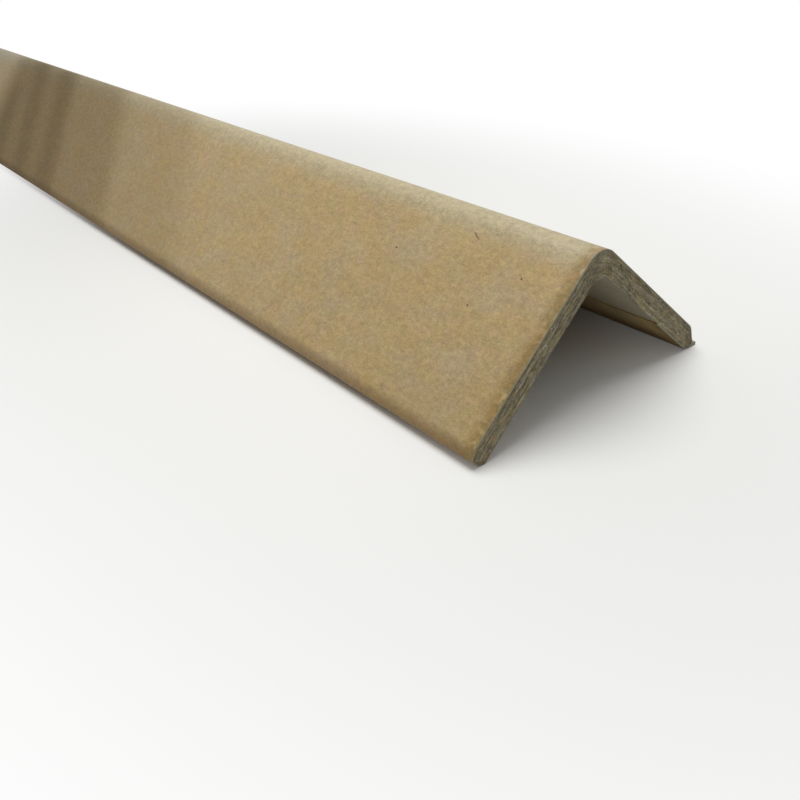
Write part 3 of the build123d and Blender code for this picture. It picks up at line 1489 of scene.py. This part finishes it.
@dataclass(frozen=True)
class Studio:
    """A plain pale floor, soft light from above the near end, and a camera at the photograph's angle."""

    floor_span: float = 8.0
    floor_colour: str = "#F0F0ED"
    shaded_middle: Triple = (0.1, 0.0, 0.0)
    shaded_shape: Triple = (0.6, 1.0, 1.0)
    white_from: float = 0.045
    white_to: float = 0.17
    sky: float = 0.32
    key_size: float = 0.28
    key_place: Triple = (0.125, 0.0, 0.31)
    key_power: float = 0.82
    azimuth: float = math.radians(54.02)
    elevation: float = math.radians(32.21)
    roll: float = math.radians(-4.79)
    lens: float = 38.61
    sensor: float = 36.0
    stand_off: Triple = (100.9 * MM, -124.9 * MM, 65.3 * MM)

    def build(self, corner: Vector) -> None:
        """Set up the floor, the lights and the camera.

        Args:
            corner: the sharp outer corner of the near cut end, which the camera stands off from.
        """
        self.lay_floor()
        self.light_world()
        self.hang_lamp()
        self.place_camera(corner)
        bpy.context.scene.view_settings.view_transform = "Standard"

    def lay_floor(self) -> None:
        """Lay the floor under the part, in a paint that fades to white far off."""
        mesh = bpy.data.meshes.new("floor")
        span = self.floor_span / 2
        corners = [(-span, -span, 0), (span, -span, 0), (span, span, 0), (-span, span, 0)]
        mesh.from_pydata(corners, [], [range(len(corners))])
        mesh.materials.append(self.floor_paint())
        place_in_scene("floor", mesh)

    def floor_paint(self) -> bpy.types.Material:
        """Matt white paint near the part, so that its shadow shows, and plain white further off.

        Returns:
            The finished material.
        """
        paint = Paint("matt_white_floor")
        away = paint.add(VECTORS, paint.place, self.shaded_middle, operation="SUBTRACT")
        shaped = paint.add(Node.VECTOR_MULTIPLY, away, self.shaded_shape)
        distance = paint.add(VECTORS, shaped, output="Value", operation="LENGTH")
        far = paint.add(Node.FADE, distance, self.white_from, self.white_to)
        seen = paint.add("ShaderNodeLightPath", output="Is Camera Ray")
        share = paint.add(Node.MULTIPLY, far, seen)
        matt = paint.add("ShaderNodeBsdfDiffuse", linear(self.floor_colour))
        white = paint.add("ShaderNodeEmission", linear(WHITE), 1.0)
        mixed = paint.add("ShaderNodeMixShader", share, matt, white)
        paint.add("ShaderNodeOutputMaterial", {"Surface": mixed})
        return paint.material

    def light_world(self) -> None:
        """Light the part evenly from all round, before a background that is seen as white."""
        world = bpy.data.worlds.new("studio")
        bpy.context.scene.world = world
        world.use_nodes = True
        sky = Tree(world.node_tree)
        path = sky.add("ShaderNodeLightPath").node.outputs
        seen = sky.add(Node.MAXIMUM, path["Is Camera Ray"], path["Is Glossy Ray"])
        shown = sky.add(Node.MAXIMUM, seen, path["Is Transmission Ray"])
        strength = sky.add(Node.REMAP, shown, {"To Min": self.sky})
        light = sky.add("ShaderNodeBackground", linear(WHITE), strength)
        sky.add("ShaderNodeOutputWorld", {"Surface": light})

    def hang_lamp(self) -> None:
        """Hang one large soft lamp over the part."""
        lamp = bpy.data.lights.new("key", "AREA")
        lamp.shape = "DISK"
        lamp.size = self.key_size
        lamp.energy = self.key_power
        key = bpy.data.objects.new("key", lamp)
        key.location = self.key_place
        key.visible_camera = False
        bpy.context.scene.collection.objects.link(key)

    def place_camera(self, corner: Vector) -> None:
        """Stand the camera off from the near cut end, at the photograph's angle.

        Args:
            corner: the sharp outer corner of the near cut end.
        """
        flat = math.cos(self.elevation)
        heading = (math.sin(self.azimuth) * flat, -math.cos(self.azimuth) * flat)
        back = Vector((*heading, math.sin(self.elevation)))
        right = Vector((0, 0, 1)).cross(back).normalized()
        turned = Matrix.Rotation(self.roll, 3, back) @ Matrix((right, back.cross(right), back)).transposed()
        data = bpy.data.cameras.new("camera")
        data.lens = self.lens
        data.sensor_width = self.sensor
        data.clip_start = MM
        camera = bpy.data.objects.new("camera", data)
        camera.matrix_world = Matrix.Translation(corner + Vector(self.stand_off)) @ turned.to_4x4()
        bpy.context.scene.collection.objects.link(camera)
        bpy.context.scene.camera = camera


def main() -> None:
    """Build the pieces in order, from the board outwards, and then the studio."""
    logging.basicConfig(level=logging.INFO, format="%(name)s: %(message)s")
    low, high = CAD_BOX
    half = (high.x - low.x) / 2
    section = AngleSection()
    recipe = SweptLayer()
    board = BoardCore().build(section, recipe, half)
    liner = KraftLiner().build(section, recipe, half)
    CUT_FIBRES.build(board)
    PULP_FLECKS.build(board)
    BARK_FLAKES.build(liner)
    StrayFibres().build(section)
    TornScrap().build(section, half)
    Studio().build(Vector((half, *section.apex())))


if __name__ == "__main__":
    main()
